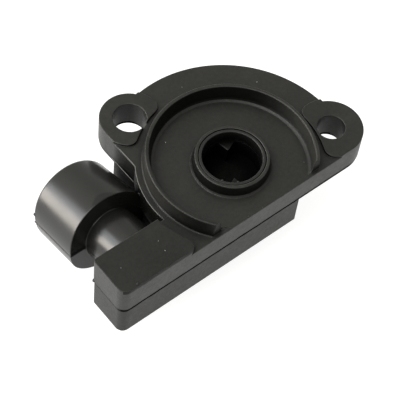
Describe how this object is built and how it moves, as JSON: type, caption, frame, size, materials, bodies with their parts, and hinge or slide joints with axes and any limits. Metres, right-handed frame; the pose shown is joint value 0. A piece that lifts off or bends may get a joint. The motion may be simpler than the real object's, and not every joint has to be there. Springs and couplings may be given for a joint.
{
  "type": "throttle position sensor",
  "caption": "Moulded throttle position sensor with a sprung rotor socket, a raised pilot ring, screw ears and a round plug-in connector on a short neck.",
  "frame": {"origin": "on the rotor's axis, level with the mounting plate's face", "axes": "+X along the flat front face towards the right screw ear, +Y away from the front face and the side that the connector leaves on, +Z out of the mounting face along the rotor's axis"},
  "size_m": [0.0705, 0.042, 0.0252],
  "materials": {
    "housing_plastic": "satin black moulded nylon",
    "cover_plastic": "satin black moulded nylon",
    "rotor_plastic": "matte black acetal",
    "seal_rubber": "matte",
    "washer_steel": "rolled",
    "spring_steel": "drawn wire",
    "wiper_alloy": "bright spring sheet",
    "rivet_brass": "bright",
    "board_laminate": "satin laminate",
    "resistor_ink": "smooth carbon film",
    "collector_ink": "smooth silver film",
    "terminal_tin": "tin-plated strip"
  },
  "bodies": {
    "case": {"housing": "housing_plastic", "rear_cover": "cover_plastic", "rotor_seal": "seal_rubber", "thrust_washer": "washer_steel", "return_spring": "spring_steel", "wave_washer": "washer_steel", "element_board": "board_laminate", "resistor_track": "resistor_ink", "collector_track": "collector_ink", "terminal_supply": "terminal_tin", "terminal_signal": "terminal_tin", "terminal_ground": "terminal_tin", "terminal_rivets": "rivet_brass"},
    "rotor_assembly": {"rotor": "rotor_plastic", "wiper_contact": "wiper_alloy", "wiper_rivets": "rivet_brass"}
  },
  "joints": [
    {"name": "rotor_turn", "type": "hinge", "parent": "case", "child": "rotor_assembly", "pos_m": [0, 0, 0], "axis": [0, 0, 1], "range_deg": [0, 100], "stiffness_Nm_per_rad": 0.01, "springref_deg": -20.05, "deforming": ["return_spring"]}
  ]
}
